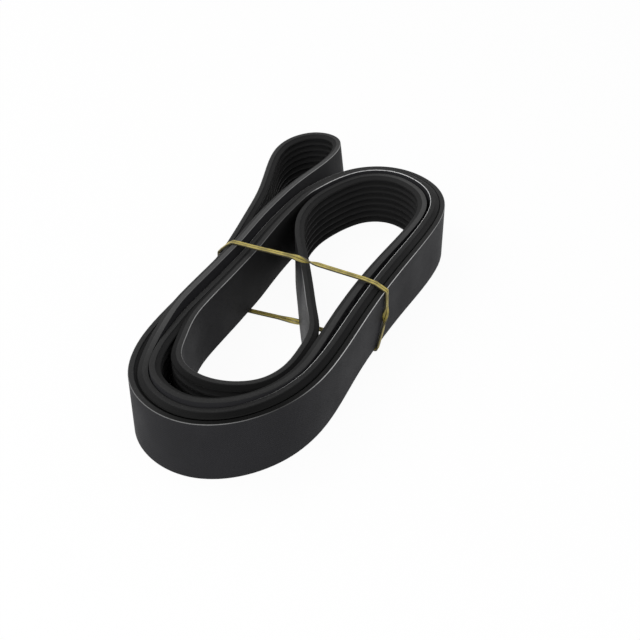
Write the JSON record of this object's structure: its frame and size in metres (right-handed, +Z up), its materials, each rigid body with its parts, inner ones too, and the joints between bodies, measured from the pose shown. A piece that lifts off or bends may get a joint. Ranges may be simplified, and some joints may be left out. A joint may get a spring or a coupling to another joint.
{
  "type": "ribbed drive belt",
  "caption": "Closed ribbed rubber engine belt, folded into nested loops that stand on the cut edge and held by a rubber band.",
  "frame": {"origin": "centre of the bounding box at its base, which is the floor that the bundle stands on", "axes": "+X along the bundle, towards the end with the two open loops; +Y towards the side with the lone hairpin loop; +Z up, across the belt's width"},
  "size_m": [0.2516, 0.1046, 0.0371],
  "materials": {
    "belt_rubber": "matte",
    "band_rubber": "satin"
  },
  "bodies": {
    "root": {"belt": "belt_rubber", "rubber_band": "band_rubber"}
  },
  "joints": []
}
